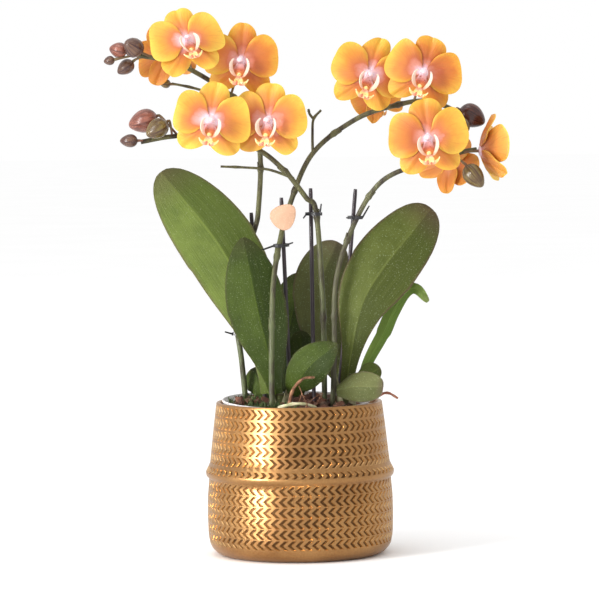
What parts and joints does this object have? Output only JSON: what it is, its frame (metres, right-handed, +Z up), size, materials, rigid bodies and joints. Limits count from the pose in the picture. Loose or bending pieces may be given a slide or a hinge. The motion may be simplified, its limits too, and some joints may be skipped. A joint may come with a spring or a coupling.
{
  "type": "potted orchid",
  "caption": "Moth orchids with arching sprays of orange flowers, staked in a clear grow pot of bark that stands in a round gold cover pot.",
  "frame": {"origin": "centre of the cover pot's flat base, on the surface it stands on", "axes": "+Z up along the pot's axis; +X to the right and -Y towards the side that the flowers face"},
  "size_m": [0.3078, 0.148, 0.4316],
  "materials": {
    "gold_pot": "gloss",
    "clear_pot": "gloss",
    "bark": "matte",
    "leaf": "satin",
    "stem": "satin",
    "petal": "satin",
    "lip": "satin",
    "bud": "satin",
    "root": "matte",
    "stake": "satin",
    "clip": "satin",
    "tag": "matte"
  },
  "bodies": {
    "root": {"cover_pot": "gold_pot", "grow_pot": "clear_pot", "bark_mix": "bark", "left_tall_leaf": "leaf", "left_inner_leaf": "leaf", "left_low_leaf": "leaf", "front_leaf": "leaf", "left_back_leaf": "leaf", "back_small_leaf": "leaf", "back_leaf": "leaf", "right_tall_leaf": "leaf", "right_strap_leaf": "leaf", "right_low_leaf": "leaf", "right_small_leaf": "leaf", "left_crown": "stem", "right_crown": "stem", "flower_spike_1": "stem", "flower_spike_2": "stem", "flower_spike_3": "stem", "flower_spike_4": "stem", "flower_1": "petal", "flower_2": "petal", "flower_3": "petal", "flower_4": "petal", "flower_5": "petal", "flower_6": "petal", "flower_7": "petal", "flower_8": "petal", "flower_9": "petal", "flower_10": "petal", "flower_11": "petal", "flower_1_lip": "lip", "flower_2_lip": "lip", "flower_3_lip": "lip", "flower_4_lip": "lip", "flower_5_lip": "lip", "flower_6_lip": "lip", "flower_7_lip": "lip", "flower_8_lip": "lip", "flower_9_lip": "lip", "flower_10_lip": "lip", "flower_11_lip": "lip", "bud_1": "bud", "bud_2": "bud", "bud_3": "bud", "bud_4": "bud", "bud_5": "bud", "bud_6": "bud", "dry_sheath": "root", "red_root": "root", "pale_root": "root", "stake_1": "stake", "stake_2": "stake", "stake_3": "stake", "stake_4": "stake", "clip_1": "clip", "clip_2": "clip", "clip_3": "clip", "clip_4": "clip", "plant_tag": "tag"}
  },
  "joints": []
}
